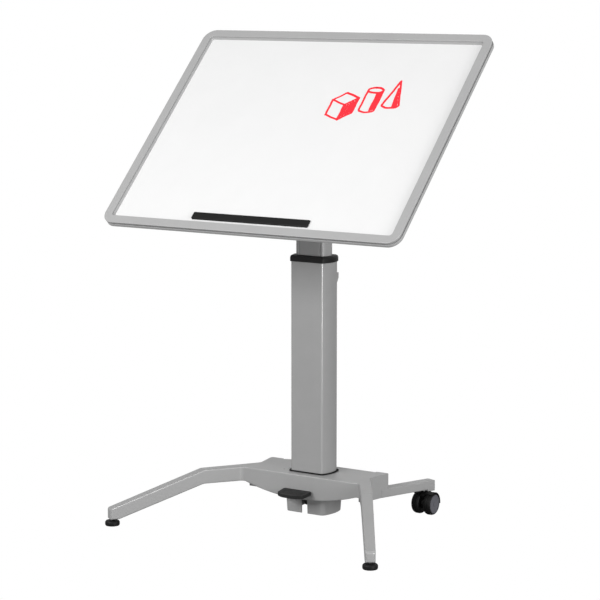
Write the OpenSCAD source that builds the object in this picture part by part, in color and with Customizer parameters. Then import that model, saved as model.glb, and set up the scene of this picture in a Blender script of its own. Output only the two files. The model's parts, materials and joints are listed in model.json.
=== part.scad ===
// Tilting whiteboard table on a gas-lift pedestal: a framed marker board on a tilt head, a two-stage
// telescopic column, a cast base with two front legs on levelling glides and two rear legs on casters,
// and a foot pedal that unlocks the gas spring.
// Millimetres, +Z up, the user stands on the -Y side. The floor is z = 0.

/* [Board] */
// Board width over the frame
board_w = 914; // [800:2:1000]
// Board depth over the frame, measured along the slope
board_d = 698; // [600:2:740]
// Frame thickness, front face to back
frame_t = 20; // [19:0.5:26]
// Width of the frame's flat front face
frame_face = 24; // [21:0.5:30]
// Outer corner radius of the frame
board_r = 35; // [32:1:60]
// Depth of the writing surface below the frame face
surface_recess = 8.5; // [7:0.5:10]
// Slope of the board from horizontal at rest
tilt = 45; // [0:5:90]
// Length of the pen ledge
ledge_len = 358; // [200:2:500]

/* [Tilt head] */
// Height of the tilt axis above the floor at rest
pivot_z = 1045.6; // [1040:0.1:1060]
// Distance from the tilt axis to the board's front face
pivot_to_face = 75; // [73:0.5:80]
// How far the board's centre lies down the slope from the tilt axis
board_drop = 55.2; // [20:0.1:80]
// Diameter of the tilt shaft
shaft_d = 14; // [12:0.5:16]

/* [Column] */
// Width of the outer tube's flat front face
tube_w = 97; // [95:0.5:100]
// Depth of the outer tube, front face to rear face
tube_d = 76; // [75:0.5:80]
// How far the outer tube's curved sides stand out past its corners
tube_bulge = 10.5; // [8:0.5:12]
// Step in from the outer tube's front to the inner tube's front
tube_step = 13.5; // [13:0.1:14]
// Step in from the outer tube's corners to the inner tube's corners, across the width
side_step = 7.4; // [7:0.1:8]
// Height of the outer tube's top
outer_top = 704; // [690:1:712]
// Height of the inner tube's top at rest
inner_top = 1011; // [1000:1:1011]

/* [Base] */
// Height of the hub's top face
hub_top = 131; // [129:0.5:136]
// Distance of each front foot from the centre line
foot_x = 405; // [390:1:430]
// Distance of the front feet ahead of the column axis
foot_y = 367.5; // [350:0.5:385]
// Diameter of a levelling glide
glide_d = 39.5; // [34:0.5:46]

/* [Casters] */
// Caster wheel diameter
wheel_d = 60.5; // [57:0.5:61]
// Distance of each caster from the centre line
caster_x = 231; // [229:0.5:233]
// Distance of the wheel axle behind the column axis
caster_y = 203.5; // [201:0.5:205]
// Distance from the swivel axis forward to the wheel axle
caster_trail = 15; // [14:0.5:16]

/* [Hidden] */
$fn = 72;
hull_fn = 32;
play = 0.05; // radial running clearance
seat = 0.1; // gap between fitted parts
inf = 400; // longer than any cut has to be

wheel_r = wheel_d / 2;
hood_r = wheel_r + 2.3; // the caster's hood
glide_r = glide_d / 2;
stem_y = caster_y + caster_trail;
// The row's origin is centred between the front of the glides and the back of the casters.
col_y = (foot_y + glide_r - caster_y - hood_r) / 2;

tube_wall = 3;
tube_r = 5.5;
inner_w = tube_w - 2 * side_step;
inner_d = tube_d - 2 * tube_step;
inner_bulge = 8.1;
inner_wall = 2.5;
inner_r = 4;
inner_bottom = 375;
tube_bottom = 86;

hub_front = 70.5; // front face of the hub, ahead of the column axis
hub_back = 72; // rear face
hub_floor = tube_bottom;
belly_z = 64.6; // lowest point of the hub's curved underside
belly_r = 582;
rear_leg_top = 91;
rear_leg_bottom = 69;
rear_boss_bottom = 64; // underside of the boss that holds a caster
stiff_z = 95; // roof of the ballast recess

head_z = inner_top; // underside of the tilt yoke
yoke_plate_t = 6;
upright_x = 30; // inner face of each yoke upright
upright_t = 8;
washer_t = 2.8;
ear_x = upright_x + upright_t + 3; // inner face of each board ear
ear_t = 6;
back_h = pivot_to_face - frame_t; // tilt axis to the back of the board
plate_t = 3;
bracket_t = 4;
shaft_r = shaft_d / 2;
bush_r = shaft_r + 3;

gas_rod_r = 5;
gas_tube_r = 14;
gas_bottom = 376;
piston_z = 515;

pedal_y = -25; // pedal pivot, ahead of the column axis
pedal_z = 50;
arm_top = 7; // top of the pedal arm above its pivot
arm_bottom = -8;
housing_bottom = 21.8;
pin_r = 2.5;
post_x = 44; // housing screw posts
post_y = 38;
bolt_x = 34; // column bolts
bolt_y = 20;
bolt_seat = 73; // seat of a column bolt's head
ballast_x = 112;
ballast_bolt_y = 43;
bracket_pitch_x = 62; // tilt bracket screws
bracket_pitch_y = 20;
yoke_pitch_x = 22; // yoke screws
yoke_pitch_y = 18.3;

grey = [0.62, 0.63, 0.62];
frame_grey = [0.72, 0.72, 0.72];
dark = [0.09, 0.09, 0.1];
steel = [0.7, 0.71, 0.73];
white = [0.95, 0.95, 0.95];
brass = [0.75, 0.62, 0.3];
cap_grey = [0.33, 0.33, 0.36];

// ---------------------------------------------------------------- helpers

// Column-centred coordinates to the row's frame.
module on_floor() {
    translate([0, col_y, 0]) children();
}

// Coordinates of the board: x right, y up the slope, z out of the front face, which is z = 0.
module on_board() {
    on_floor()
        translate([0, 0, pivot_z])
            rotate([tilt, 0, 0])
                translate([0, -board_drop, pivot_to_face])
                    children();
}

// A cylinder lying along +X from x0 to x1.
module x_cylinder(x0, x1, r) {
    translate([x0, 0, 0])
        rotate([0, 90, 0])
            cylinder(h = x1 - x0, r = r);
}

// A profile drawn with x to the rear and y up, extruded along X from x0 to x1.
module side_extrude(x0, x1) {
    translate([x0, 0, 0])
        rotate([90, 0, 90])
            linear_extrude(x1 - x0)
                children();
}

function unit(v) = v / norm(v);

// The points that round corner b, between a and c, to radius r in n steps.
function fillet(a, b, c, r, n) =
    r <= 0 ? [b] :
    let (u = unit(a - b), v = unit(c - b), half = acos(u * v) / 2)
    let (t = r / tan(half), m = b + unit(u + v) * r / sin(half))
    let (p = b + u * t - m, q = b + v * t - m)
    let (a0 = atan2(p[1], p[0]), da = (atan2(q[1], q[0]) - a0 + 540) % 360 - 180)
    [for (i = [0:n]) m + r * [cos(a0 + da * i / n), sin(a0 + da * i / n)]];

// A polygon's points with corner i rounded to rs[i].
function rounded(pts, rs, n = 6) =
    let (k = len(pts))
    [for (i = [0:k - 1]) each fillet(pts[(i + k - 1) % k], pts[i], pts[(i + 1) % k], rs[i], n)];

function box_points(x0, x1, y0, y1) = [[x0, y0], [x1, y0], [x1, y1], [x0, y1]];

// A rectangle with all four corners rounded.
module soft_rect(x0, x1, y0, y1, r, n = 6) {
    polygon(rounded(box_points(x0, x1, y0, y1), [r, r, r, r], n));
}

// A plate with rounded corners, resting on z = 0.
module soft_plate(w, d, t, r) {
    linear_extrude(t)
        soft_rect(-w / 2, w / 2, -d / 2, d / 2, r);
}

// The column's outline: flat front and back, curved sides, rounded corners.
module column_outline(w, d, b, r) {
    side_r = (d * d / 4 + b * b) / (2 * b);
    side_x = w / 2 + b - side_r;
    corner_y = d / 2 - r;
    corner_x = side_x + sqrt(pow(side_r - r, 2) - corner_y * corner_y);
    tangent_y = corner_y * side_r / (side_r - r);
    square([2 * corner_x, d], center = true);
    for (m = [0, 1])
        mirror([m, 0])
            intersection() {
                translate([corner_x / 2, -tangent_y]) square([w, 2 * tangent_y]);
                translate([side_x, 0]) circle(side_r);
            }
    for (sx = [-1, 1], sy = [-1, 1])
        translate([sx * corner_x, sy * corner_y])
            circle(r);
}

// The same outline as one polygon, for openings cut in larger castings.
function column_points(w, d, b, r, n = 8) =
    let (side_r = (d * d / 4 + b * b) / (2 * b), side_x = w / 2 + b - side_r, yc = d / 2 - r)
    let (xc = side_x + sqrt(pow(side_r - r, 2) - yc * yc), turn = asin(yc / (side_r - r)))
    let (half = [
        for (i = [0:n]) [xc, -yc] + r * [cos(-90 + (90 - turn) * i / n), sin(-90 + (90 - turn) * i / n)],
        for (i = [1:2 * n - 1]) [side_x, 0] + side_r * [cos(turn * (i / n - 1)), sin(turn * (i / n - 1))],
        for (i = [0:n]) [xc, yc] + r * [cos(turn + (90 - turn) * i / n), sin(turn + (90 - turn) * i / n)]
    ])
    [each half, for (p = half) -p];

// The outer tube's outline moved out by g.
module tube_outline(g, r = tube_r) {
    column_outline(tube_w + 2 * g, tube_d + 2 * g, tube_bulge, max(r + g, 1));
}

// The inner tube's outline moved out by g.
module inner_outline(g) {
    column_outline(inner_w + 2 * g, inner_d + 2 * g, inner_bulge, max(inner_r + g, 1));
}

// A domed screw with its head's underside at z = 0 and its shank going down.
module dome_screw(r, length, head_r, head_h) {
    translate([0, 0, -length]) cylinder(h = length, r = r);
    intersection() {
        cylinder(h = head_h, r = head_r);
        translate([0, 0, head_h - head_r * 1.6]) sphere(head_r * 1.6);
    }
}

// A hexagon-socket cap screw with its head's underside at z = 0 and its shank going up.
module cap_screw(r, length, head_r, head_h) {
    cylinder(h = length, r = r);
    difference() {
        translate([0, 0, -head_h]) cylinder(h = head_h, r = head_r);
        translate([0, 0, -head_h - 1]) cylinder(h = head_h / 2 + 1, r = head_r * 0.5, $fn = 6);
    }
}

// ---------------------------------------------------------------- base

leg_root_in = [188, -hub_front]; // where the leg's inner side leaves the hub
leg_root_out = [177, 4]; // where its outer side does
leg_lead = 9.8; // how far a front leg runs past its foot
leg_w_end = 26.5;
leg_under = 92; // underside of a front leg at its root
leg_bend = 258; // distance from the foot back to the bend
foot = [foot_x, -foot_y];
leg_dir = unit(foot - (leg_root_in + leg_root_out) / 2);
leg_tip = foot + leg_dir * leg_lead;
rear_tip = [234.6, 231.8];
rear_dir = [0.343, 0.939];
rear_len = 190;
rear_boss_len = 28;
rear_w = 35;
rear_w_end = 33;
hub_corner = [191.3, 79]; // rear corner, over the rear leg's root
bump_x = 151; // where the rear face steps back over the leg's root
rear_block = 25; // the rear of the hub has a flat underside from here, ahead of the column

function side(d) = [-d[1], d[0]];

// Plan of the hub and front legs together, so that every corner between them is filleted.
function base_plan() =
    let (s = side(leg_dir) * leg_w_end / 2)
    let (half = [
        leg_root_in, leg_tip - s, leg_tip + s, leg_root_out,
        hub_corner, [bump_x, hub_corner[1]], [bump_x, hub_back]
    ])
    let (rs = [14, 5, 5, 20, 6, 2, 2], k = len(half) - 1)
    rounded(
        [each half, for (i = [k:-1:0]) [-half[i][0], half[i][1]]],
        [each rs, for (i = [k:-1:0]) rs[i]], 8);

// Side view of a front leg: x is the distance outward along the leg from its foot.
module leg_side_view() {
    polygon(rounded(
        [
            [-420, leg_under], [-420, hub_top + 0.3], [-leg_bend - 1, hub_top + 0.3], [leg_lead, 46.2],
            [leg_lead, 18.3], [-16, 18.3], [-leg_bend + 2, 93.4]
        ],
        [0, 0, 40, 9, 2, 8, 40]));
}

module front_leg_zone() {
    translate([foot_x, -foot_y, 0])
        rotate([0, 0, atan2(leg_dir[1], leg_dir[0])])
            rotate([90, 0, 0])
                linear_extrude(120, center = true)
                    leg_side_view();
}

// A strip of the rear leg's plan that ends at the tip.
module rear_leg_plan(length, w) {
    s0 = side(rear_dir) * w / 2;
    s1 = side(rear_dir) * rear_w_end / 2;
    root = rear_tip - rear_dir * length;
    polygon(rounded([root + s0, root - s0, rear_tip - s1, rear_tip + s1], [0, 0, 6, 6]));
}

module rear_leg() {
    translate([0, 0, rear_leg_bottom])
        linear_extrude(rear_leg_top - rear_leg_bottom)
            rear_leg_plan(rear_len, rear_w);
    translate([0, 0, rear_boss_bottom])
        linear_extrude(rear_leg_top - rear_boss_bottom - 2)
            rear_leg_plan(rear_boss_len, rear_w_end);
}

// Height of the hub's underside, x from the centre line.
function belly(x) = belly_z + belly_r - sqrt(belly_r * belly_r - x * x);

// The hub's front view, with the curved underside.
module hub_front_view() {
    intersection() {
        translate([-200, belly_z]) square([400, hub_top]);
        translate([0, belly_z + belly_r]) circle(belly_r, $fn = 360);
    }
}

module base_casting() {
    color(grey) on_floor() difference() {
        union() {
            intersection() {
                linear_extrude(hub_top) polygon(base_plan());
                union() {
                    translate([0, 100, 0])
                        rotate([90, 0, 0])
                            linear_extrude(100 + hub_front)
                                hub_front_view();
                    translate([-195, -rear_block, rear_leg_bottom])
                        cube([390, 100 + rear_block, hub_top]);
                    for (m = [0, 1])
                        mirror([m, 0, 0]) front_leg_zone();
                }
            }
            for (m = [0, 1])
                mirror([m, 0, 0]) rear_leg();
        }
        // Column socket, and the opening below it for the release mechanism.
        translate([0, 0, hub_floor])
            linear_extrude(inf)
                tube_polygon(3.7);
        cylinder(h = inf, r = 12.2);
        translate([-6.5, -16, 0]) cube([13, 32, inf]);
        // Channel that the pedal arm runs in.
        translate([-6.5, -hub_front - 1, 0]) cube([13, hub_front + 1, 80]);
        at_column_bolts() {
            cylinder(h = inf, r = 4.1);
            cylinder(h = bolt_seat, r = 7.2);
        }
        at_posts() translate([0, 0, 60]) cylinder(h = 24, r = 3);
        for (s = [-1, 1]) {
            // Lightening pocket and the recess that its ballast plate closes.
            translate([s * ballast_x, 0, stiff_z - 1]) soft_plate(76, 66, hub_top - 7 - stiff_z, 10);
            translate([s * ballast_x, 0, 0]) soft_plate(92, 106, stiff_z, 10);
            translate([s * foot_x, -foot_y, 0]) cylinder(h = 38, r = 5 + play);
            translate([s * caster_x, stem_y, 0]) cylinder(h = rear_leg_top - 5, r = 9);
        }
        at_ballast_bolts() translate([0, 0, stiff_z - 1]) cylinder(h = 22, r = 4);
    }
}

module at_column_bolts() {
    for (x = [-bolt_x, bolt_x], y = [-bolt_y, bolt_y])
        translate([x, y, 0]) children();
}

module at_posts() {
    for (x = [-post_x, post_x], y = [-post_y, post_y])
        translate([x, y, 0]) children();
}

module at_ballast_bolts() {
    for (x = [-ballast_x, ballast_x], y = [-ballast_bolt_y, ballast_bolt_y])
        translate([x, y, 0]) children();
}

module ballast(s) {
    on_floor() difference() {
        translate([s * ballast_x, 0, stiff_z - 6]) soft_plate(91.6, 105.6, 5.9, 9.8);
        at_ballast_bolts() cylinder(h = inf, r = 4.2);
    }
}

module ballast_left() {
    color(dark) ballast(-1);
}

module ballast_right() {
    color(dark) ballast(1);
}

module ballast_bolts() {
    color(steel) on_floor()
        at_ballast_bolts()
            translate([0, 0, stiff_z - 6.1])
                cap_screw(3.9, 24, 6.5, 6);
}

// The outer tube's outline moved out by g, as a polygon.
module tube_polygon(g) {
    polygon(column_points(tube_w + 2 * g, tube_d + 2 * g, tube_bulge, tube_r + g));
}

module column_gasket() {
    color(dark) on_floor() difference() {
        union() {
            translate([0, 0, hub_top - 8]) linear_extrude(8) tube_polygon(3.6);
            translate([0, 0, hub_top]) linear_extrude(3) tube_polygon(4.4);
        }
        translate([0, 0, hub_top - 9]) linear_extrude(20) tube_polygon(0.15);
    }
}

// ---------------------------------------------------------------- column

module outer_tube() {
    color(grey) on_floor() difference() {
        translate([0, 0, tube_bottom]) linear_extrude(outer_top - tube_bottom) tube_outline(0);
        translate([0, 0, tube_bottom - 1]) linear_extrude(outer_top) tube_outline(-tube_wall);
    }
}

// A thick plate fixed in the bottom of the outer tube, tapped for the column bolts and the gas rod.
module column_foot() {
    color(steel) on_floor() difference() {
        translate([0, 0, tube_bottom]) linear_extrude(12) tube_outline(-tube_wall - seat);
        at_column_bolts() cylinder(h = inf, r = 4.1);
        cylinder(h = inf, r = 8 + play);
    }
}

module column_bolts() {
    color(steel) on_floor()
        at_column_bolts()
            translate([0, 0, bolt_seat - 0.05])
                cap_screw(4, 23, 6.5, 8);
}

collar_h = 16;

module collar() {
    color(dark) on_floor() difference() {
        union() {
            translate([0, 0, outer_top - 1]) linear_extrude(11) tube_outline(2.6);
            hull($fn = hull_fn) {
                translate([0, 0, outer_top + 9]) linear_extrude(0.5) tube_outline(2.6);
                translate([0, 0, outer_top + collar_h - 2.5]) linear_extrude(0.5) tube_outline(1);
                translate([0, 0, outer_top + collar_h - 0.5]) linear_extrude(0.5) tube_outline(-2.5);
            }
        }
        translate([0, 0, outer_top - 2]) linear_extrude(2) tube_outline(seat);
        translate([0, 0, outer_top - 3]) linear_extrude(30) inner_outline(0.5);
    }
}

module upper_guide() {
    color(dark) on_floor() difference() {
        translate([0, 0, 650]) linear_extrude(outer_top - 650) tube_outline(-tube_wall - seat);
        translate([0, 0, 649]) linear_extrude(60) inner_outline(play * 2);
    }
}

// A small wedge-shaped cable clip near the top of the tube's rear face.
module cable_clip() {
    clip = [[0, 643], [6, 643], [13, 656], [13, 670], [0, 670]];
    color(grey) on_floor()
        difference() {
            translate([0, tube_d / 2, 0])
                side_extrude(31, 45)
                    polygon(rounded(clip, [0, 1, 2, 1.5, 0]));
            translate([34, tube_d / 2, 650]) cube([8, 8, 30]);
        }
}

// The inner tube's section, with a screw channel near each corner.
module inner_section() {
    wall = 2 * inner_wall;
    difference() {
        inner_outline(0);
        difference() {
            polygon(column_points(inner_w - wall, inner_d - wall, inner_bulge, 2.5));
            for (x = [-yoke_pitch_x, yoke_pitch_x], y = [-yoke_pitch_y, yoke_pitch_y])
                translate([x, y]) circle(4.8);
        }
        for (x = [-yoke_pitch_x, yoke_pitch_x], y = [-yoke_pitch_y, yoke_pitch_y])
            translate([x, y]) circle(3.01);
    }
}

module inner_tube() {
    color(grey) on_floor() difference() {
        translate([0, 0, inner_bottom]) linear_extrude(inner_top - inner_bottom) inner_section();
        // Shallow guide grooves near the corners of both flat faces.
        for (x = [-33, 33], s = [-1, 1])
            translate([x, s * inner_d / 2, (inner_bottom + inner_top) / 2])
                cube([3, 1.8, inner_top - inner_bottom + 4], center = true);
    }
}

module lower_guide() {
    color(dark) on_floor() difference() {
        translate([0, 0, inner_bottom]) linear_extrude(42) tube_outline(-tube_wall - 0.2);
        translate([0, 0, inner_bottom - 1]) linear_extrude(60) inner_outline(0.02);
    }
}

// ---------------------------------------------------------------- gas spring

module gas_rod() {
    color(steel) on_floor() difference() {
        union() {
            translate([0, 0, 78]) cylinder(h = piston_z + 14 - 78, r = gas_rod_r);
            translate([0, 0, 78]) cylinder(h = 26, r = 8);
        }
        translate([0, 0, 77]) cylinder(h = 44, r = pin_r + play);
    }
}

module gas_piston() {
    color(dark) on_floor() difference() {
        translate([0, 0, piston_z]) cylinder(h = 14, r = gas_tube_r - 1.6 - play);
        translate([0, 0, piston_z - 1]) cylinder(h = 16, r = gas_rod_r + 0.01);
    }
}

module gas_cylinder() {
    color(dark) on_floor() difference() {
        translate([0, 0, gas_bottom]) cylinder(h = inner_top - gas_bottom - 0.2, r = gas_tube_r);
        translate([0, 0, gas_bottom - 1]) cylinder(h = inner_top - gas_bottom - 24, r = gas_tube_r - 1.6);
        translate([0, 0, inner_top - 16]) cylinder(h = 20, r = 4.1);
    }
}

module gas_gland() {
    color(brass) on_floor() difference() {
        translate([0, 0, gas_bottom]) cylinder(h = 20, r = gas_tube_r - 1.6 - 0.01);
        translate([0, 0, gas_bottom - 1]) cylinder(h = 22, r = gas_rod_r + play);
    }
}

// ---------------------------------------------------------------- tilt head

module tilt_yoke() {
    upright = [[-23.5, 0], [23.5, 0], [16, pivot_z - head_z + 8], [-16, pivot_z - head_z + 8]];
    color(dark) on_floor() difference() {
        translate([0, 0, head_z]) union() {
            linear_extrude(yoke_plate_t) inner_outline(-0.5);
            for (s = [-1, 1])
                translate([s * (upright_x + upright_t / 2) - upright_t / 2, 0, 0]) {
                    side_extrude(0, upright_t) polygon(rounded(upright, [0, 0, 8, 8]));
                    translate([0, 0, pivot_z - head_z]) x_cylinder(0, upright_t, 16);
                }
        }
        translate([0, 0, pivot_z]) x_cylinder(-60, 60, shaft_r + 0.01);
        for (x = [-yoke_pitch_x, yoke_pitch_x], y = [-yoke_pitch_y, yoke_pitch_y])
            translate([x, y, head_z - 1]) cylinder(h = 20, r = 3.1);
        translate([0, 0, head_z - 1]) cylinder(h = 20, r = 4.1);
    }
}

// Screws that hold the yoke down, one in each corner and one into the gas cylinder.
module yoke_screws() {
    color(steel) on_floor() {
        for (x = [-yoke_pitch_x, yoke_pitch_x], y = [-yoke_pitch_y, yoke_pitch_y])
            translate([x, y, head_z + yoke_plate_t + 0.05])
                dome_screw(3, 14, 5.2, 3.2);
        translate([0, 0, head_z + yoke_plate_t + 0.05])
            dome_screw(4, 20, 8, 4.5);
    }
}

shaft_left = -(ear_x + ear_t + 10);
shaft_right = ear_x + ear_t + 26;

module tilt_shaft() {
    color(steel) on_floor() translate([0, 0, pivot_z]) {
        x_cylinder(shaft_left, shaft_right, shaft_r);
        x_cylinder(shaft_left - 4, shaft_left, shaft_r + 4);
    }
}

module friction_washers() {
    color(dark) on_floor() translate([0, 0, pivot_z])
        for (s = [-1, 1])
            difference() {
                x_cylinder(s * (ear_x - 1.5) - washer_t / 2, s * (ear_x - 1.5) + washer_t / 2, 15);
                x_cylinder(-inf, inf, shaft_r + 0.02);
            }
}

module shaft_nut() {
    color(steel) on_floor() translate([shaft_right - 8, 0, pivot_z])
        difference() {
            rotate([0, 90, 0]) cylinder(h = 8, r = 11, $fn = 6);
            x_cylinder(-1, 9, shaft_r + 0.01);
        }
}

// The friction lever on the right-hand end of the shaft, pointing to the rear.
lever_x = ear_x + ear_t + 2.5;
lever_droop = 5;
lever_len = 95;

module on_lever() {
    on_floor() translate([0, 0, pivot_z]) rotate([-lever_droop, 0, 0]) children();
}

module tilt_lever() {
    arm = [[-2, -9], [30, -6], [lever_len, -5], [lever_len, 5], [30, 6], [-2, 9]];
    color(steel) on_lever() difference() {
        union() {
            x_cylinder(lever_x, lever_x + 15, 14);
            side_extrude(lever_x + 9, lever_x + 15) polygon(rounded(arm, [0, 20, 4, 4, 20, 0]));
        }
        x_cylinder(-inf, inf, shaft_r + play);
    }
}

module lever_grip() {
    color(dark) on_lever() difference() {
        side_extrude(lever_x + 5.5, lever_x + 18.5) soft_rect(48, lever_len + 7, -8.5, 8.5, 6);
        side_extrude(lever_x + 8.98, lever_x + 15.02) soft_rect(40, lever_len + 0.5, -6.2, 6.2, 1);
    }
}

// ---------------------------------------------------------------- board

lip = 4; // depth of the frame face before its inner step
step_in = 27; // inner edge of the step, from the outside
foot_in = 29.5; // where the writing surface starts, from the outside
groove_in = 3.5;
panel_in = 10; // edge of the panel, from the outside
sheet_t = 1;
corner_c = [board_w / 2 - board_r, board_d / 2 - board_r];

// One moulding: x is the distance out from the corner's centre, y = 0 is the front face.
module frame_section() {
    polygon(rounded(
        [
            [board_r - foot_in, -surface_recess], [board_r - step_in, -lip], [board_r - frame_face, -lip],
            [board_r - frame_face, 0], [board_r, 0], [board_r, -3],
            [board_r - groove_in, -3], [board_r - groove_in, -10], [board_r - 0.4, -10],
            [board_r - 0.4, -frame_t], [board_r - panel_in, -frame_t], [board_r - panel_in, -surface_recess]
        ],
        [0, 0, 0, 1, 1.6, 0.8, 0, 0, 0.8, 3, 0, 0], 4));
}

module board_frame() {
    color(frame_grey) on_board() {
        for (sx = [0, 1], sy = [0, 1])
            mirror([sx, 0, 0]) mirror([0, sy, 0])
                translate([corner_c[0], corner_c[1], 0])
                    rotate_extrude(angle = 90) frame_section();
        for (m = [0, 1]) {
            mirror([m, 0, 0])
                translate([corner_c[0], corner_c[1], 0])
                    rotate([90, 0, 0])
                        linear_extrude(2 * corner_c[1]) frame_section();
            mirror([0, m, 0])
                translate([-corner_c[0], corner_c[1], 0])
                    rotate([90, 0, 90])
                        linear_extrude(2 * corner_c[0]) frame_section();
        }
    }
}

panel_w = board_w - 2 * panel_in - 2 * seat;
panel_d = board_d - 2 * panel_in - 2 * seat;
panel_r = board_r - panel_in - seat;

module panel_layer(top, t) {
    translate([0, 0, top - t])
        linear_extrude(t)
            soft_rect(-panel_w / 2, panel_w / 2, -panel_d / 2, panel_d / 2, panel_r, 12);
}

module writing_sheet() {
    color(white) on_board() panel_layer(-surface_recess, sheet_t);
}

module board_core() {
    color([0.85, 0.82, 0.75]) on_board()
        difference() {
            panel_layer(-surface_recess - sheet_t, frame_t - surface_recess - 2 * sheet_t);
            plate_holes(2.5);
        }
}

module back_sheet() {
    color(frame_grey) on_board()
        difference() {
            panel_layer(-frame_t + sheet_t, sheet_t);
            plate_holes(2.6);
        }
}

ledge_w = 22.7;
ledge_h = 5.5;
ledge_y = -board_d / 2 + 35.3; // lower edge of the ledge

module pen_ledge() {
    bar = [[0, 0], [ledge_w, 0], [ledge_w, ledge_h - 1], [0, ledge_h]];
    color(dark) on_board()
        intersection() {
            translate([0, ledge_y, -surface_recess])
                side_extrude(-ledge_len / 2, ledge_len / 2)
                    polygon(rounded(bar, [0.5, 0.5, 2, 2]));
            translate([0, ledge_y + ledge_w / 2, -surface_recess])
                soft_plate(ledge_len, ledge_w, ledge_h + 1, 2);
        }
}

plate_w = 300;
plate_d = 200;
plate_pitch_x = 130;
plate_pitch_y = 84;

// Screw positions of the mounting plate, in board coordinates.
module at_plate_screws() {
    for (x = [-plate_pitch_x, 0, plate_pitch_x], s = [-1, 1])
        translate([x, board_drop + s * plate_pitch_y, 0]) children();
}

module plate_holes(r) {
    at_plate_screws() translate([0, 0, -frame_t - 20]) cylinder(h = 28, r = r);
}

module at_bracket_screws() {
    for (x = [-bracket_pitch_x, bracket_pitch_x], y = [-bracket_pitch_y, bracket_pitch_y])
        translate([x, board_drop + y, 0]) children();
}

module mounting_plate() {
    color(dark) on_board() difference() {
        translate([0, board_drop, -frame_t - plate_t]) soft_plate(plate_w, plate_d, plate_t, 14);
        plate_holes(2.6);
        at_bracket_screws() translate([0, 0, -frame_t - 20]) cylinder(h = 20, r = 3);
    }
}

module plate_screws() {
    color(steel) on_board()
        at_plate_screws()
            translate([0, 0, -frame_t - plate_t - 0.02])
                mirror([0, 0, 1])
                    dome_screw(2.4, 11, 4.8, 2.4);
}

// The board's half of the tilt joint: a base plate with two ears.
module tilt_bracket() {
    ear = [[-28, back_h - plate_t - 1], [28, back_h - plate_t - 1], [17, 4], [0, -12], [-17, 4]];
    color(dark) on_board() translate([0, board_drop, -pivot_to_face]) difference() {
        union() {
            translate([0, 0, back_h - plate_t - bracket_t]) soft_plate(148, 60, bracket_t, 10);
            for (s = [-1, 1])
                translate([s * (ear_x + ear_t / 2) - ear_t / 2, 0, 0]) {
                    side_extrude(0, ear_t) polygon(rounded(ear, [0, 0, 10, 6, 10]));
                    x_cylinder(0, ear_t, 18);
                }
        }
        x_cylinder(-inf, inf, bush_r + 0.01);
        for (x = [-bracket_pitch_x, bracket_pitch_x], y = [-bracket_pitch_y, bracket_pitch_y])
            translate([x, y, 0]) cylinder(h = back_h, r = 3.1);
    }
}

module bracket_screws() {
    color(steel) on_board()
        at_bracket_screws()
            translate([0, 0, -frame_t - plate_t - bracket_t - 0.02])
                mirror([0, 0, 1])
                    dome_screw(2.9, 6.8, 5.4, 2.6);
}

// Flanged plain bushes pressed in the ears; they turn on the shaft.
module tilt_bushes() {
    color(brass) on_floor() translate([0, 0, pivot_z])
        for (m = [0, 1])
            mirror([m, 0, 0])
                difference() {
                    union() {
                        x_cylinder(ear_x, ear_x + ear_t + 0.05, bush_r);
                        x_cylinder(ear_x + ear_t + 0.05, ear_x + ear_t + 2, 13);
                    }
                    x_cylinder(-inf, inf, shaft_r + play);
                }
}

// ---------------------------------------------------------------- pedal and release

slot_w = 19;
wall_g = 6; // inside of the housing's wall, out from the tube's outline
top_g = 11.5; // outside of the wall at the top
bottom_g = 8.7;

module pedal_housing() {
    shelf = housing_bottom + 12;
    color(grey) on_floor() difference() {
        union() {
            difference() {
                hull($fn = hull_fn) {
                    translate([0, 0, belly_z + 5]) linear_extrude(0.5) tube_outline(top_g);
                    translate([0, 0, housing_bottom]) linear_extrude(0.5) tube_outline(bottom_g);
                }
                translate([0, 0, housing_bottom - 1]) linear_extrude(60) tube_outline(wall_g);
            }
            intersection() {
                translate([0, 0, shelf]) linear_extrude(belly_z + 5 - shelf) tube_outline(wall_g + 0.5);
                union() {
                    // Lugs that carry the pedal's pivot pin.
                    for (x = [-18, 12])
                        translate([x, -tube_d / 2 - 8, pedal_z - 9]) cube([6, tube_d / 2 + 20, 24]);
                    at_posts() cylinder(h = inf, r = 7);
                }
            }
        }
        // The top follows the hub's underside.
        translate([0, 100, 0])
            rotate([90, 0, 0])
                linear_extrude(200)
                    polygon([[-80, 100], for (i = [-10:10]) [8 * i, belly(8 * i) - seat], [80, 100]]);
        translate([-slot_w / 2, -tube_d, housing_bottom - 1]) cube([slot_w, tube_d - 20, 60]);
        translate([0, pedal_y, pedal_z]) x_cylinder(-19, 19, 4 + 0.01);
        at_posts() cylinder(h = inf, r = 3.1);
        at_column_bolts() translate([0, 0, shelf]) cylinder(h = inf, r = 7.2);
    }
}

module housing_screws() {
    color(steel) on_floor()
        at_posts()
            translate([0, 0, housing_bottom + 11.9])
                cap_screw(2.95, 44, 5, 5);
}

module pedal_pin() {
    color(steel) on_floor() translate([0, pedal_y, pedal_z]) {
        x_cylinder(-18.5, 18.5, 4);
        x_cylinder(18.1, 20, 5.5);
    }
}

pad_x = -4;
pad_back = 72.5; // the pad's back edge, ahead of the column axis
pad_top = 91;
pad_tilt = 6;

// Coordinates of the pad: x right, -y forward, z = 0 is its tread.
module on_pad() {
    on_floor()
        translate([pad_x, -pad_back, pad_top])
            rotate([pad_tilt, 0, 0])
                children();
}

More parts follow.
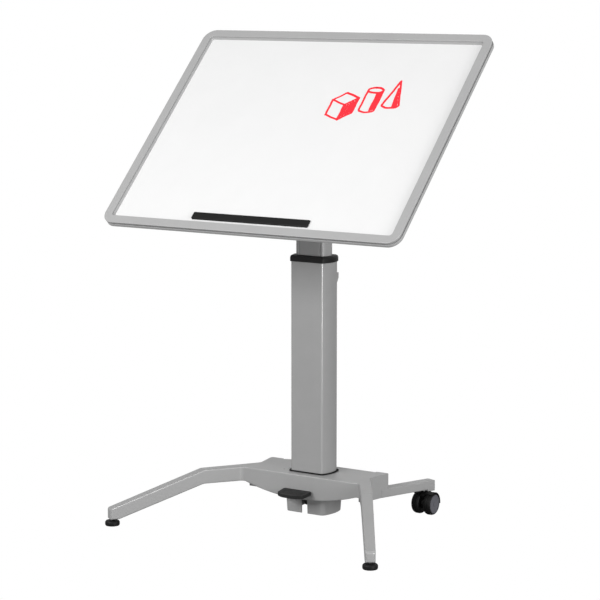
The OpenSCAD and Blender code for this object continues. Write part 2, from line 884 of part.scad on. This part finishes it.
// The bent steel arm: from the pivot up into the hub's channel, then forward to the plate inside the pad.
module pedal_arm() {
    arm = [
        [30, arm_bottom], [30, arm_top], [-2, arm_top], [-14, 28], [-50, 28],
        [-50, 34], [-59, 33], [-59, 20], [-22, 20], [-10, arm_bottom]
    ];
    color(dark) difference() {
        union() {
            on_floor() translate([0, pedal_y, pedal_z]) {
                side_extrude(-5, 5) polygon(rounded(arm, [4, 4, 6, 6, 2, 0, 0, 3, 6, 6]));
                x_cylinder(-9, 9, 8);
            }
            on_pad() translate([-33, -36, -8.5]) cube([66, 34, 5.4]);
        }
        on_floor() translate([0, pedal_y, pedal_z]) x_cylinder(-inf, inf, 4 + play);
    }
}

module pedal_pad() {
    half = 44;
    plan = [[half, 0], [half - 2.5, 40], [20, 50], [-20, 50], [-half + 2.5, 40], [-half, 0]];
    color(dark) on_pad() difference() {
        translate([0, 0, -9]) rotate([0, 0, 180]) linear_extrude(9)
            polygon(rounded(plan, [6, 12, 30, 30, 12, 6]));
        translate([-34, -37, -9.1]) cube([68, 44, 6.1]);
        // Tread grooves.
        for (i = [0:4])
            translate([-34, -14 - 6.5 * i, -0.8]) cube([68, 1.6, 1]);
    }
}

module release_pin() {
    tip = pedal_z + arm_top + 0.1 + pin_r;
    color(steel) on_floor() {
        translate([0, 0, tip]) cylinder(h = 46, r = pin_r);
        translate([0, 0, tip]) sphere(pin_r);
    }
}

// ---------------------------------------------------------------- feet

module glide(s) {
    disc = [
        [0, 0], [glide_r - 1.5, 0], [glide_r, 3], [glide_r, 10],
        [glide_r - 3, 13.5], [8, 14], [6.5, 16.5], [0, 16.5]
    ];
    on_floor() translate([s * foot_x, -foot_y, 0]) difference() {
        rotate_extrude() polygon(rounded(disc, [0, 1, 2, 2, 2, 1, 0.5, 0], 3));
        translate([0, 0, 6]) cylinder(h = 20, r = 5.01);
    }
}

module glide_stem(s) {
    on_floor() translate([s * foot_x, -foot_y, 0]) {
        translate([0, 0, 6.02]) cylinder(h = 20, r = 5);
        translate([0, 0, 26]) cylinder(h = 10.5, r = 5);
    }
}

module glide_left() {
    color(dark) glide(-1);
}

module glide_right() {
    color(dark) glide(1);
}

module glide_stem_left() {
    color(steel) glide_stem(-1);
}

module glide_stem_right() {
    color(steel) glide_stem(1);
}

// ---------------------------------------------------------------- casters

web = 5.8; // half thickness of the caster body between the wheels
wheel_in = 6.5; // inner face of each wheel from the caster's centre plane
wheel_out = 29.8;
axle_r = 4;
tread_r = 25.7; // where the tyre starts

spigot_r = 3.9; // lower end of a caster's stem

module caster_sockets() {
    color(dark) on_floor()
        for (s = [-1, 1])
            translate([s * caster_x, stem_y, 0]) difference() {
                translate([0, 0, rear_boss_bottom - 0.5]) cylinder(h = 22.5, r = 9 - 0.02);
                cylinder(h = rear_leg_top, r = 5.5 + play);
            }
}

module on_caster(s) {
    on_floor() translate([s * caster_x, caster_y, wheel_r]) children();
}

// A sector of a disc in the wheel's plane, from angle a0 to a1 above the rear.
module sector(r, a0, a1) {
    intersection() {
        circle(r);
        polygon([[0, 0], for (i = [0:6]) 2 * r * [cos(a0 + (a1 - a0) * i / 6), sin(a0 + (a1 - a0) * i / 6)]]);
    }
}

module caster_body(s) {
    arch_r = wheel_r + 0.8;
    neck_top = rear_boss_bottom - 1.1 - wheel_r;
    on_caster(s) difference() {
        union() {
            side_extrude(-wheel_out + 1.5, wheel_out - 1.5) sector(hood_r, -6, 118);
            side_extrude(-web, web) sector(hood_r - 0.5, -16, 130);
            x_cylinder(-web, web, 15);
            translate([0, caster_trail, 10]) cylinder(h = neck_top - 10, r = 8);
        }
        for (m = [0, 1])
            mirror([m, 0, 0]) x_cylinder(web, wheel_out + 5, arch_r);
        x_cylinder(-20, 20, axle_r + 0.01);
        translate([0, caster_trail, 44 - wheel_r]) cylinder(h = 50, r = spigot_r + 0.01);
    }
}

module caster_stem(s) {
    on_floor() translate([s * caster_x, stem_y, 0]) {
        translate([0, 0, 44.02]) cylinder(h = 20, r = spigot_r);
        translate([0, 0, rear_boss_bottom - 1]) cylinder(h = 21, r = 5.5);
        translate([0, 0, rear_boss_bottom + 20]) cylinder(h = 2, r = 4);
    }
}

module caster_axle(s) {
    on_caster(s) x_cylinder(-wheel_out + 5, wheel_out - 5, axle_r);
}

// outer = 1 is the wheel further from the centre line, -1 the nearer one.
module wheel(s, outer) {
    on_caster(s) mirror([s * outer < 0 ? 1 : 0, 0, 0]) difference() {
        union() {
            x_cylinder(wheel_in + 0.5, wheel_out - 1, tread_r - 0.02);
            x_cylinder(wheel_out - 1, wheel_out, tread_r - 1.5);
        }
        x_cylinder(wheel_in - 5, wheel_out - 4.8, axle_r + play);
        difference() {
            x_cylinder(wheel_out - 0.6, wheel_out + 1, tread_r - 4);
            x_cylinder(wheel_out - 2, wheel_out + 2, 7);
        }
    }
}

module tyre(s, outer) {
    h = wheel_out - wheel_in;
    ring = [
        [tread_r, 0.4], [wheel_r - 4.3, 0.2], [wheel_r - 1.6, 2.4], [wheel_r, 7], [wheel_r, h - 7],
        [wheel_r - 1.6, h - 2.4], [wheel_r - 4.3, h - 0.2], [tread_r, h - 0.4]
    ];
    on_caster(s) mirror([s * outer < 0 ? 1 : 0, 0, 0])
        translate([wheel_in, 0, 0])
            rotate([0, 90, 0])
                difference() {
                    rotate_extrude() polygon(rounded(ring, [0, 0.5, 3, 3, 3, 3, 0.5, 0], 4));
                    for (i = [-1, 1])
                        translate([0, 0, h / 2 + 3.2 * i - 0.6])
                            rotate_extrude() translate([wheel_r - 0.7, 0]) square([3, 1.2]);
                }
}

module caster_body_left() {
    color(dark) caster_body(-1);
}

module caster_body_right() {
    color(dark) caster_body(1);
}

module caster_stem_left() {
    color(steel) caster_stem(-1);
}

module caster_stem_right() {
    color(steel) caster_stem(1);
}

module caster_axle_left() {
    color(steel) caster_axle(-1);
}

module caster_axle_right() {
    color(steel) caster_axle(1);
}

module wheel_left_outer() {
    color(cap_grey) wheel(-1, 1);
}

module wheel_left_inner() {
    color(cap_grey) wheel(-1, -1);
}

module wheel_right_outer() {
    color(cap_grey) wheel(1, 1);
}

module wheel_right_inner() {
    color(cap_grey) wheel(1, -1);
}

module tyre_left_outer() {
    color(dark) tyre(-1, 1);
}

module tyre_left_inner() {
    color(dark) tyre(-1, -1);
}

module tyre_right_outer() {
    color(dark) tyre(1, 1);
}

module tyre_right_inner() {
    color(dark) tyre(1, -1);
}

// ---------------------------------------------------------------- assembly

base_casting();
ballast_left();
ballast_right();
ballast_bolts();
column_gasket();
outer_tube();
column_foot();
column_bolts();
collar();
upper_guide();
cable_clip();
pedal_housing();
housing_screws();
pedal_pin();
gas_rod();
gas_piston();
caster_sockets();
inner_tube();
lower_guide();
tilt_yoke();
yoke_screws();
gas_cylinder();
gas_gland();
tilt_shaft();
friction_washers();
shaft_nut();
writing_sheet();
board_core();
back_sheet();
board_frame();
pen_ledge();
mounting_plate();
plate_screws();
tilt_bracket();
bracket_screws();
tilt_bushes();
tilt_lever();
lever_grip();
pedal_arm();
pedal_pad();
release_pin();
glide_left();
glide_right();
glide_stem_left();
glide_stem_right();
caster_body_left();
caster_stem_left();
caster_axle_left();
wheel_left_outer();
tyre_left_outer();
wheel_left_inner();
tyre_left_inner();
caster_body_right();
caster_stem_right();
caster_axle_right();
wheel_right_outer();
tyre_right_outer();
wheel_right_inner();
tyre_right_inner();
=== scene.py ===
import json
import math

import bmesh
import bpy
from mathutils import Matrix, Vector


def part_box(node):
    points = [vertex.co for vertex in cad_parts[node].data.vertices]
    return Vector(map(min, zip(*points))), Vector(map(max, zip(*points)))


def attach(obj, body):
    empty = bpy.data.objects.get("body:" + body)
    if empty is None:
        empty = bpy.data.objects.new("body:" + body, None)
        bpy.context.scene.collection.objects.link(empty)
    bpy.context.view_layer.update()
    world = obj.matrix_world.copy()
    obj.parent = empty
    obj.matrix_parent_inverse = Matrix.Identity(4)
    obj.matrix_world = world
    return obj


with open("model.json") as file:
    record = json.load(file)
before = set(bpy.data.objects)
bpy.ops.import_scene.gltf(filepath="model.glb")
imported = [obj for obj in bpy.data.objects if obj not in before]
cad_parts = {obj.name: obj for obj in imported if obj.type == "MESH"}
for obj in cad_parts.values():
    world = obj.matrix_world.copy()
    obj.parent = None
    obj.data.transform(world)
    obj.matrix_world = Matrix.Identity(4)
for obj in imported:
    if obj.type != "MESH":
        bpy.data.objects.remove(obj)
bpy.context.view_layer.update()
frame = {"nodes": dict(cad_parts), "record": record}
nodes = frame["nodes"]
record = frame["record"]

# ---------------------------------------------------------------- node helpers

# Sockets of the colour mix node, which has several with the same name.
MIX_FACTOR, MIX_A, MIX_B, MIX_RESULT = 0, 6, 7, 2
SHADER_SAMPLES = 8


def new_material(name):
    mat = bpy.data.materials.new(name)
    mat.use_nodes = True
    tree = mat.node_tree
    tree.nodes.clear()
    out = tree.nodes.new("ShaderNodeOutputMaterial")
    bsdf = tree.nodes.new("ShaderNodeBsdfPrincipled")
    tree.links.new(bsdf.outputs["BSDF"], out.inputs["Surface"])
    return mat, tree, bsdf


def coords(tree, scale=(1, 1, 1)):
    """Object coordinates in metres, stretched by scale.

    CAD objects sit at the origin, so this is the part's own frame.
    """
    tex = tree.nodes.new("ShaderNodeTexCoord")
    mapping = tree.nodes.new("ShaderNodeMapping")
    mapping.inputs["Scale"].default_value = scale
    tree.links.new(tex.outputs["Object"], mapping.inputs["Vector"])
    return mapping.outputs["Vector"]


def noise(tree, vector, scale, detail=3.0, rough=0.5):
    n = tree.nodes.new("ShaderNodeTexNoise")
    n.inputs["Scale"].default_value = scale
    n.inputs["Detail"].default_value = detail
    n.inputs["Roughness"].default_value = rough
    tree.links.new(vector, n.inputs["Vector"])
    return n.outputs["Fac"]


def remap(tree, value, lo, hi, from_lo=0.3, from_hi=0.7):
    m = tree.nodes.new("ShaderNodeMapRange")
    m.inputs["From Min"].default_value = from_lo
    m.inputs["From Max"].default_value = from_hi
    m.inputs["To Min"].default_value = lo
    m.inputs["To Max"].default_value = hi
    tree.links.new(value, m.inputs["Value"])
    return m.outputs["Result"]


def mix_colour(tree, factor, a, b):
    """a where factor is 0 and b where it is 1; a and b are colours or sockets."""
    m = tree.nodes.new("ShaderNodeMix")
    m.data_type = "RGBA"
    for socket, c in ((m.inputs[MIX_A], a), (m.inputs[MIX_B], b)):
        if isinstance(c, tuple):
            socket.default_value = (*c, 1.0)
        else:
            tree.links.new(c, socket)
    tree.links.new(factor, m.inputs[MIX_FACTOR])
    return m.outputs[MIX_RESULT]


def bump(tree, height, strength, distance):
    b = tree.nodes.new("ShaderNodeBump")
    b.inputs["Strength"].default_value = strength
    b.inputs["Distance"].default_value = distance
    tree.links.new(height, b.inputs["Height"])
    return b.outputs["Normal"]


def linear(v):
    """The linear value of an 8-bit display value."""
    v = v / 255
    return v / 12.92 if v <= 0.04045 else ((v + 0.055) / 1.055) ** 2.4


def grey(v):
    return (linear(v),) * 3


def colour(r, g, b):
    return (linear(r), linear(g), linear(b))


def painted_shade_mask(tree, reach):
    """PAINTED_SHADE_DEPTH deep in a groove, 0 on an open face: how far painted shade darkens narrow gaps."""
    ao = tree.nodes.new("ShaderNodeAmbientOcclusion")
    ao.samples = SHADER_SAMPLES
    ao.only_local = True
    ao.inputs["Distance"].default_value = reach
    return remap(tree, ao.outputs["AO"], PAINTED_SHADE_DEPTH, 0.0, 0.25, 0.6)


def rounded_edges(tree, radius):
    """Normals that turn over every sharp edge as on a casting's small radius, which catches the light."""
    rounding = tree.nodes.new("ShaderNodeBevel")
    rounding.samples = SHADER_SAMPLES
    rounding.inputs["Radius"].default_value = radius
    return rounding.outputs["Normal"]


# Painted shade in grooves and narrow gaps: how deep it goes, and the grey it darkens towards.
PAINTED_SHADE_DEPTH = 0.75
PAINTED_SHADE_GREY = 52
BROAD_SCALE = 9.0
GRAIN_STRENGTH = 0.35
COAT_ROUGHNESS = 0.12


def surface(name, base, vary, rough, rough_vary, grain, grain_height, metallic=0.0, spec=0.5,
            stretch=(1, 1, 1), coat=0.0, painted_shade_reach=0.0, edge=0.0):
    """A finish whose colour drifts from base to vary and whose roughness drifts too.

    Its fine bumps come grain times a metre and stand grain_height high. crevice is the reach of the
    shade painted into grooves, and edge the radius that sharp edges seem to have.
    """
    mat, tree, bsdf = new_material(name)
    vec = coords(tree)
    fine = noise(tree, coords(tree, stretch), grain, 2.0, 0.6)
    broad = noise(tree, vec, BROAD_SCALE, 4.0, 0.6)
    tint = mix_colour(tree, remap(tree, broad, 0.0, 1.0), base, vary)
    # Painted shade: the colour darkens towards a dark grey in grooves and narrow gaps.
    if painted_shade_reach:
        tint = mix_colour(tree, painted_shade_mask(tree, painted_shade_reach), tint, grey(PAINTED_SHADE_GREY))
    tree.links.new(tint, bsdf.inputs["Base Color"])
    roughness = remap(tree, broad, rough - rough_vary, rough + rough_vary)
    tree.links.new(roughness, bsdf.inputs["Roughness"])
    grained = bump(tree, fine, GRAIN_STRENGTH, grain_height)
    tree.links.new(grained, bsdf.inputs["Normal"])
    if edge:
        tree.links.new(rounded_edges(tree, edge), grained.node.inputs["Normal"])
    bsdf.inputs["Metallic"].default_value = metallic
    bsdf.inputs["Specular IOR Level"].default_value = spec
    bsdf.inputs["Coat Weight"].default_value = coat
    bsdf.inputs["Coat Roughness"].default_value = COAT_ROUGHNESS
    return mat


# Each finish: base, vary, rough, rough_vary, grain, grain_height, and what else it has.
FINISHES = {
    "base_paint": ((grey(149), grey(145), 0.3, 0.03, 2600, 0.000003), dict(spec=0.6, edge=0.0045)),
    "column_paint": ((grey(144), grey(140), 0.24, 0.03, 2600, 0.000006), dict(spec=0.6, edge=0.0015)),
    "ballast_steel": ((grey(45), grey(36), 0.5, 0.06, 1500, 0.00006), dict()),
    "bolt_steel": ((grey(150), grey(130), 0.35, 0.06, 900, 0.00003), dict(metallic=0.9)),
    "shaft_steel": (
        (grey(190), grey(175), 0.22, 0.04, 900, 0.00002), dict(metallic=1.0, stretch=(1, 1, 0.1))),
    "black_rubber": ((grey(14), grey(9), 0.75, 0.08, 2200, 0.00006), dict(spec=0.2)),
    "black_plastic": ((grey(16), grey(11), 0.5, 0.06, 2500, 0.00006), dict(spec=0.25)),
    "guide_plastic": ((grey(60), grey(52), 0.4, 0.05, 1500, 0.00003), dict()),
    "black_paint": ((grey(30), grey(24), 0.45, 0.06, 2200, 0.00006), dict(spec=0.3)),
    "pedal_rubber": ((grey(34), grey(25), 0.55, 0.08, 1800, 0.00008), dict(spec=0.3)),
    "bush_bronze": (
        (colour(176, 140, 84), colour(160, 122, 70), 0.4, 0.08, 1800, 0.00005), dict(metallic=0.9)),
    "marker_surface": ((grey(223), grey(221), 0.16, 0.02, 300, 0.00001), dict(coat=0.3)),
    "core_wood": ((colour(196, 170, 128), colour(168, 138, 96), 0.8, 0.05, 700, 0.0002), dict()),
    "back_laminate": ((grey(190), grey(182), 0.45, 0.04, 1200, 0.00004), dict()),
    # The frame's grooves get painted shade.
    "frame_plastic": ((grey(163), grey(159), 0.34, 0.04, 2200, 0.00001), dict(painted_shade_reach=0.008)),
    "wheel_plastic": ((colour(92, 92, 98), colour(82, 82, 88), 0.45, 0.05, 2000, 0.00005), dict(spec=0.3)),
    "tyre_black": ((grey(12), grey(8), 0.6, 0.08, 1600, 0.00008), dict(spec=0.2)),
}
MATS = {
    name: surface(name, *levels, **extras)
    for name, (levels, extras) in FINISHES.items()
}

slots = {s["node"]: s["material_slot"] for s in record["subparts"]}
for name, obj in nodes.items():
    obj.data.materials.clear()
    obj.data.materials.append(MATS[slots[name]])
    for poly in obj.data.polygons:
        poly.material_index = 0

# A wheel is black but for the cap on its outer face. The middle of its caster's axle tells which face
# that is.
CAP_DEPTH = 0.0016
CAP_BLEND = 0.0002
WHEEL_GREY = 14
OFF_CENTRE = 0.01


def capped_wheel(node, middle_x):
    levels, extras = FINISHES["wheel_plastic"]
    mat = surface("cap_" + node, *levels, **extras)
    tree = mat.node_tree
    bsdf = next(n for n in tree.nodes if n.type == "BSDF_PRINCIPLED")
    plain = bsdf.inputs["Base Color"].links[0].from_socket
    split = tree.nodes.new("ShaderNodeSeparateXYZ")
    tree.links.new(coords(tree), split.inputs["Vector"])
    low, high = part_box(node)
    edge, side = (high[0], 1) if high[0] > middle_x + OFF_CENTRE else (low[0], -1)
    start = edge - side * CAP_DEPTH
    on_cap = remap(tree, split.outputs["X"], 0.0, 1.0, start, start + side * CAP_BLEND)
    tree.links.new(mix_colour(tree, on_cap, grey(WHEEL_GREY), plain), bsdf.inputs["Base Color"])
    return mat


for side in ("left", "right"):
    low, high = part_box("caster_axle_" + side)
    for place in ("outer", "inner"):
        node = f"wheel_{side}_{place}"
        nodes[node].data.materials[0] = capped_wheel(node, (low[0] + high[0]) / 2)

# ---------------------------------------------------------------- softened edges

# Bevel width by node, in metres.
SOFT = {
    "base_casting": 0.0015, "outer_tube": 0.0008, "cable_clip": 0.0008, "tilt_lever": 0.001,
    "tilt_yoke": 0.0012, "tilt_bracket": 0.0012, "mounting_plate": 0.0008, "pedal_arm": 0.001,
    "pedal_pad": 0.0012, "pedal_housing": 0.001, "pen_ledge": 0.0015, "lever_grip": 0.0015,
    "collar": 0.001, "column_gasket": 0.0005, "inner_tube": 0.0006,
}


def soften(obj, width):
    """Small rounded edges on a CAD node: weld the split corners, bevel what is sharp, shade by face area."""
    weld = obj.modifiers.new("weld", "WELD")
    weld.merge_threshold = 0.00001
    bevel = obj.modifiers.new("bevel", "BEVEL")
    bevel.width = width
    bevel.segments = 3
    bevel.limit_method = "ANGLE"
    bevel.angle_limit = math.radians(40)
    bevel.harden_normals = False
    bevel.use_clamp_overlap = True
    normals = obj.modifiers.new("normals", "WEIGHTED_NORMAL")
    normals.keep_sharp = False
    normals.weight = 50


for name, width in SOFT.items():
    soften(nodes[name], width)

# ---------------------------------------------------------------- marker doodle

BOARD_SLOPE = 45
tilt = math.radians(BOARD_SLOPE)
across = Vector((1, 0, 0))
up_slope = Vector((0, math.cos(tilt), math.sin(tilt)))
outward = Vector((0, -math.sin(tilt), math.cos(tilt)))
sheet = [v.co for v in nodes["writing_sheet"].data.vertices]


def middle(axis):
    reach = [v.dot(axis) for v in sheet]
    return (min(reach) + max(reach)) / 2


surface_level = max(v.dot(outward) for v in sheet)
board_centre = middle(across) * across + middle(up_slope) * up_slope + surface_level * outward
to_board = Matrix((across, up_slope, outward)).transposed().to_4x4()
to_board.translation = board_centre

# A stroke starts just clear of the sheet, and each is a little higher than the last one.
INK_WIDTH = 0.0062
INK_GAP = 0.00001
INK_HEIGHT = 0.00012
INK_STEP = 0.00001
INK_WAVER = 0.0004
LINE_STEPS = 10
END_STEPS = 6


def wobble(points, amount, phase):
    """A hand's small waver along a line."""
    out = []
    for i, (x, y) in enumerate(points):
        out.append((
            x + amount * math.sin(0.9 * i + phase) + 0.5 * amount * math.sin(2.3 * i + 2 * phase),
            y + amount * math.cos(0.7 * i + 1.7 * phase),
        ))
    return out


def line(a, b):
    steps = [i / LINE_STEPS for i in range(LINE_STEPS + 1)]
    return [(a[0] + (b[0] - a[0]) * s, a[1] + (b[1] - a[1]) * s) for s in steps]


def arc(cx, cy, rx, ry, a0, a1, n):
    """Part of an ellipse about (cx, cy), from angle a0 to a1 in degrees."""
    angles = [math.radians(a0 + (a1 - a0) * i / n) for i in range(n + 1)]
    return [(cx + rx * math.cos(a), cy + ry * math.sin(a)) for a in angles]


def round_end(tip, across_x, outward_dir, width):
    """The points of a half circle at a stroke's tip, from its left side to its right."""
    turns = [math.pi * k / END_STEPS for k in range(1, END_STEPS)]
    return [tip + (across_x * math.cos(a) + outward_dir * math.sin(a)) * width / 2 for a in turns]


def ink(bm, points, width, level):
    """A flat ribbon of ink with round ends, as a thin closed solid."""
    pts = [Vector(p) for p in points]
    left, right = [], []
    for i, p in enumerate(pts):
        d = (pts[min(i + 1, len(pts) - 1)] - pts[max(i - 1, 0)]).normalized()
        side = Vector((-d.y, d.x)) * width / 2
        left.append(p + side)
        right.append(p - side)
    d0 = (pts[1] - pts[0]).normalized()
    d1 = (pts[-1] - pts[-2]).normalized()
    start = round_end(pts[0], Vector((-d0.y, d0.x)), -d0, width)
    end = round_end(pts[-1], Vector((d1.y, -d1.x)), d1, width)
    low, high = INK_GAP, INK_HEIGHT + level * INK_STEP
    rings = []
    for z in (low, high):
        rings.append((
            [bm.verts.new((v.x, v.y, z)) for v in left],
            [bm.verts.new((v.x, v.y, z)) for v in right],
            [bm.verts.new((v.x, v.y, z)) for v in start],
            [bm.verts.new((v.x, v.y, z)) for v in end],
        ))
    for k, (lv, rv, sv, ev) in enumerate(rings):
        faces = [[lv[i], rv[i], rv[i + 1], lv[i + 1]] for i in range(len(lv) - 1)]
        faces.append([lv[0]] + sv + [rv[0]])
        faces.append([rv[-1]] + ev + [lv[-1]])
        for f in faces:
            bm.faces.new(f if k else f[::-1])
    outline_low, outline_high = (lv + ev[::-1] + rv[::-1] + sv[::-1] for lv, rv, sv, ev in rings)
    count = len(outline_low)
    for i in range(count):
        j = (i + 1) % count
        bm.faces.new([outline_low[j], outline_low[i], outline_high[i], outline_high[j]])


# The sketch's solids, in millimetres from the board's centre.
MM = 0.001
CUBE_FOOT = ((62, 62), (104, 46), (138, 72))
CUBE_BACK = (96, 88)
CUBE_HEIGHT = 52
CUBE_HATCHES = 5
TUBE_X, TUBE_TOP, TUBE_FOOT, TUBE_R = 178, 152, 84, 23
TUBE_HATCH_X = 187
CONE_X, CONE_FOOT, CONE_R = 242, 102, 25
CONE_TIP = (240, 186)
OVAL_R = 9  # half height of every round rim


def raised(point, height):
    return (point[0], point[1] + height)


def cube_strokes():
    """A cube seen from above its front edge, hatched on the right."""
    left, front, right = CUBE_FOOT
    rim = [raised(p, CUBE_HEIGHT) for p in (left, front, right, CUBE_BACK)]
    strokes = [line(left, front), line(front, right)]
    strokes += [line(foot, top) for foot, top in zip(CUBE_FOOT, rim)]
    strokes += [line(rim[i], rim[(i + 1) % len(rim)]) for i in range(len(rim))]
    for k in range(CUBE_HATCHES):
        s = (k + 0.7) / (CUBE_HATCHES + 0.4)
        foot = (front[0] + (right[0] - front[0]) * s, front[1] + (right[1] - front[1]) * s)
        strokes.append(line(raised(foot, 5), raised(foot, CUBE_HEIGHT - 6)))
    return strokes


def cylinder_strokes():
    left, right = TUBE_X - TUBE_R, TUBE_X + TUBE_R
    strokes = [
        arc(TUBE_X, TUBE_TOP, TUBE_R, OVAL_R, 90, 455, 40),
        arc(TUBE_X, TUBE_FOOT, TUBE_R, OVAL_R, 180, 360, 24),
        line((left, TUBE_TOP), (left, TUBE_FOOT)),
        line((right, TUBE_TOP), (right, TUBE_FOOT)),
    ]
    for k in range(3):
        x = TUBE_HATCH_X + 5.5 * k
        strokes.append(line((x, TUBE_TOP - 10 + k), (x, TUBE_FOOT - 2 + 2 * k)))
    return strokes


def cone_strokes():
    strokes = [
        arc(CONE_X, CONE_FOOT, CONE_R, OVAL_R, 180, 360, 26),
        line((CONE_X - CONE_R, CONE_FOOT), CONE_TIP),
        line(CONE_TIP, (CONE_X + CONE_R, CONE_FOOT)),
    ]
    for k in range(3):
        strokes.append(line((244 + 4 * k, 160 - 16 * k), (250 + 5 * k, 97 + 2 * k)))
    return strokes


def pen_width(level):
    """Strokes differ a little in width, in a cycle of five."""
    return INK_WIDTH * (0.92 + 0.16 * ((level * 7) % 5) / 4)


bm = bmesh.new()
for level, stroke in enumerate(cube_strokes() + cylinder_strokes() + cone_strokes()):
    points = [(x * MM, y * MM) for x, y in stroke]
    ink(bm, wobble(points, INK_WAVER, level * 1.3), pen_width(level), level)
mesh = bpy.data.meshes.new("marker_doodle")
bm.to_mesh(mesh)
bm.free()
mesh.transform(to_board)
doodle = bpy.data.objects.new("marker_doodle", mesh)
bpy.context.scene.collection.objects.link(doodle)
doodle.data.materials.append(
    surface("marker_ink", colour(246, 32, 50), colour(232, 24, 42), 0.5, 0.06, 900, 0.00002))
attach(doodle, "board")

# ---------------------------------------------------------------- floor, light, camera

FLOOR_SIZE = 14.0
FLOOR_Z = -0.0005
FLOOR_BOUNCE = 150  # grey of the floor as the part's undersides see it
WORLD_LIGHT = 0.54


def seen_by_camera(tree):
    return tree.nodes.new("ShaderNodeLightPath").outputs["Is Camera Ray"]


def studio_sheet(name):
    """A plain white sheet: evenly white to the camera, and a softer bounce light to the part."""
    mat, tree, bsdf = new_material(name)
    bsdf.inputs["Base Color"].default_value = (*grey(FLOOR_BOUNCE), 1)
    bsdf.inputs["Roughness"].default_value = 0.9
    bsdf.inputs["Specular IOR Level"].default_value = 0.1
    glow = tree.nodes.new("ShaderNodeEmission")
    glow.inputs["Color"].default_value = (1, 1, 1, 1)
    mix = tree.nodes.new("ShaderNodeMixShader")
    out = next(n for n in tree.nodes if n.type == "OUTPUT_MATERIAL")
    tree.links.new(seen_by_camera(tree), mix.inputs["Fac"])
    tree.links.new(bsdf.outputs["BSDF"], mix.inputs[1])
    tree.links.new(glow.outputs["Emission"], mix.inputs[2])
    tree.links.new(mix.outputs["Shader"], out.inputs["Surface"])
    return mat


bpy.ops.mesh.primitive_plane_add(size=FLOOR_SIZE, location=(0, 0, FLOOR_Z))
floor = bpy.context.object
floor.name = "studio_floor"
floor.data.materials.append(studio_sheet("studio_floor"))

world = bpy.data.worlds.new("studio")
bpy.context.scene.world = world
world.use_nodes = True
sky = world.node_tree.nodes["Background"]
sky.inputs["Color"].default_value = (1, 1, 1, 1)
tree = world.node_tree
tree.links.new(remap(tree, seen_by_camera(tree), WORLD_LIGHT, 1.0, 0.0, 1.0), sky.inputs["Strength"])


def area_light(name, where, aim, size, power):
    data = bpy.data.lights.new(name, "AREA")
    data.shape = "RECTANGLE"
    data.size, data.size_y = size
    data.energy = power
    obj = bpy.data.objects.new(name, data)
    bpy.context.scene.collection.objects.link(obj)
    obj.location = where
    obj.rotation_euler = (Vector(aim) - Vector(where)).to_track_quat("-Z", "Y").to_euler()
    return obj


area_light("key", (-1.2, -4.1, 2.5), (0, 0, 0.6), (2.6, 1.8), 160)
area_light("fill", (4.3, -1.3, 1.2), (0, 0, 0.5), (2.4, 2.0), 138)
# The rear light only fills shade: seen as a reflection it would glare on the base's level tops.
area_light("rear", (-1.5, 4.4, 1.3), (0, 0, 0.6), (2.6, 2.0), 60).visible_glossy = False
# Two narrow strips pick out the rounded edges of the base and column, and leave the board alone.
edge_lit = bpy.data.collections.new("edge_lit")
for node in ("base_casting", "pedal_housing", "outer_tube"):
    edge_lit.objects.link(nodes[node])
for strip in (area_light("ridge_strip", (2.5, -1.65, 0.25), (0, 0, 0.3), (0.16, 0.7), 60),
              area_light("top_strip", (-1.9, -0.5, 2.8), (0, 0, 0.1), (1.8, 0.6), 50)):
    strip.light_linking.receiver_collection = edge_lit
    strip.visible_diffuse = False

AIM = Vector((0.0152, -0.0165, 0.6096))
AZIMUTH = math.radians(33.36)
ELEVATION = math.radians(8.348)
DISTANCE = 5.9093
FOCAL_MM = 134.33
SENSOR_MM = 36.0
view_dir = Vector((
    -math.sin(AZIMUTH) * math.cos(ELEVATION),
    math.cos(AZIMUTH) * math.cos(ELEVATION),
    -math.sin(ELEVATION),
))
cam_data = bpy.data.cameras.new("camera")
cam_data.sensor_width = SENSOR_MM
cam_data.lens = FOCAL_MM
cam = bpy.data.objects.new("camera", cam_data)
bpy.context.scene.collection.objects.link(cam)
cam.location = AIM - DISTANCE * view_dir
cam.rotation_euler = view_dir.to_track_quat("-Z", "Y").to_euler()
bpy.context.scene.camera = cam
bpy.context.scene.view_settings.view_transform = "Standard"
